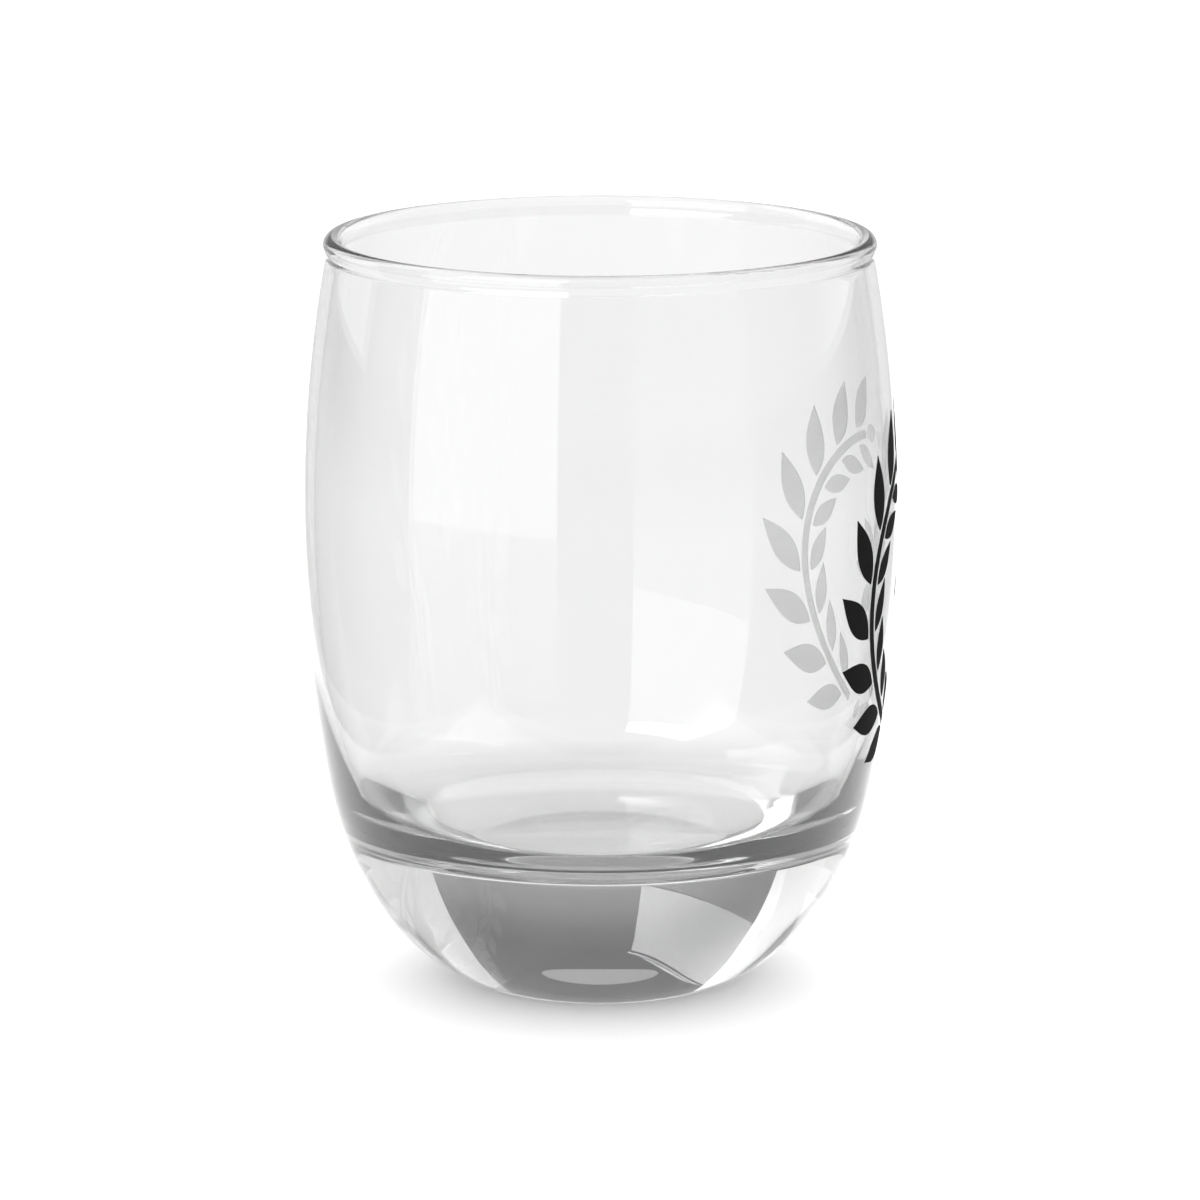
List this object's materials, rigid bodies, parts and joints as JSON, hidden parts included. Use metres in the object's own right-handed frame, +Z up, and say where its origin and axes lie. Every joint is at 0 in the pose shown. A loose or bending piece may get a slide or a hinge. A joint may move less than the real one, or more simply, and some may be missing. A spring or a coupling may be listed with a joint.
{
  "type": "whisky glass",
  "caption": "Barrel-shaped whisky tumbler of clear glass with a heavy solid base, a bowl-shaped cavity, a rolled rim bead and a leafy wreath printed on its outer wall.",
  "frame": {"origin": "middle of the flat foot, on the surface that the glass stands on", "axes": "+Z up along the glass's axis, +X through the middle of the print"},
  "size_m": [0.0702, 0.07, 0.0888],
  "materials": {
    "glass": "clear, fire-polished",
    "ink": "opaque black screen-print ink, satin"
  },
  "bodies": {
    "root": {"glass_body": "glass", "print_stem_right": "ink", "print_leaf_right_outer_1": "ink", "print_leaf_right_inner_1": "ink", "print_leaf_right_outer_2": "ink", "print_leaf_right_inner_2": "ink", "print_leaf_right_outer_3": "ink", "print_leaf_right_inner_3": "ink", "print_leaf_right_outer_4": "ink", "print_leaf_right_inner_4": "ink", "print_leaf_right_outer_5": "ink", "print_leaf_right_inner_5": "ink", "print_leaf_right_outer_6": "ink", "print_leaf_right_inner_6": "ink", "print_leaf_right_outer_7": "ink", "print_leaf_right_inner_7": "ink", "print_leaf_right_outer_8": "ink", "print_leaf_right_inner_8": "ink", "print_leaf_right_tip": "ink", "print_stem_left": "ink", "print_leaf_left_outer_1": "ink", "print_leaf_left_inner_1": "ink", "print_leaf_left_outer_2": "ink", "print_leaf_left_inner_2": "ink", "print_leaf_left_outer_3": "ink", "print_leaf_left_inner_3": "ink", "print_leaf_left_outer_4": "ink", "print_leaf_left_inner_4": "ink", "print_leaf_left_outer_5": "ink", "print_leaf_left_inner_5": "ink", "print_leaf_left_outer_6": "ink", "print_leaf_left_inner_6": "ink", "print_leaf_left_outer_7": "ink", "print_leaf_left_inner_7": "ink", "print_leaf_left_outer_8": "ink", "print_leaf_left_inner_8": "ink", "print_leaf_left_tip": "ink", "print_berry": "ink", "print_rosette_centre": "ink", "print_petal_1": "ink", "print_petal_2": "ink", "print_petal_3": "ink", "print_petal_4": "ink", "print_petal_5": "ink", "print_petal_6": "ink", "print_petal_7": "ink", "print_petal_8": "ink"}
  },
  "joints": []
}
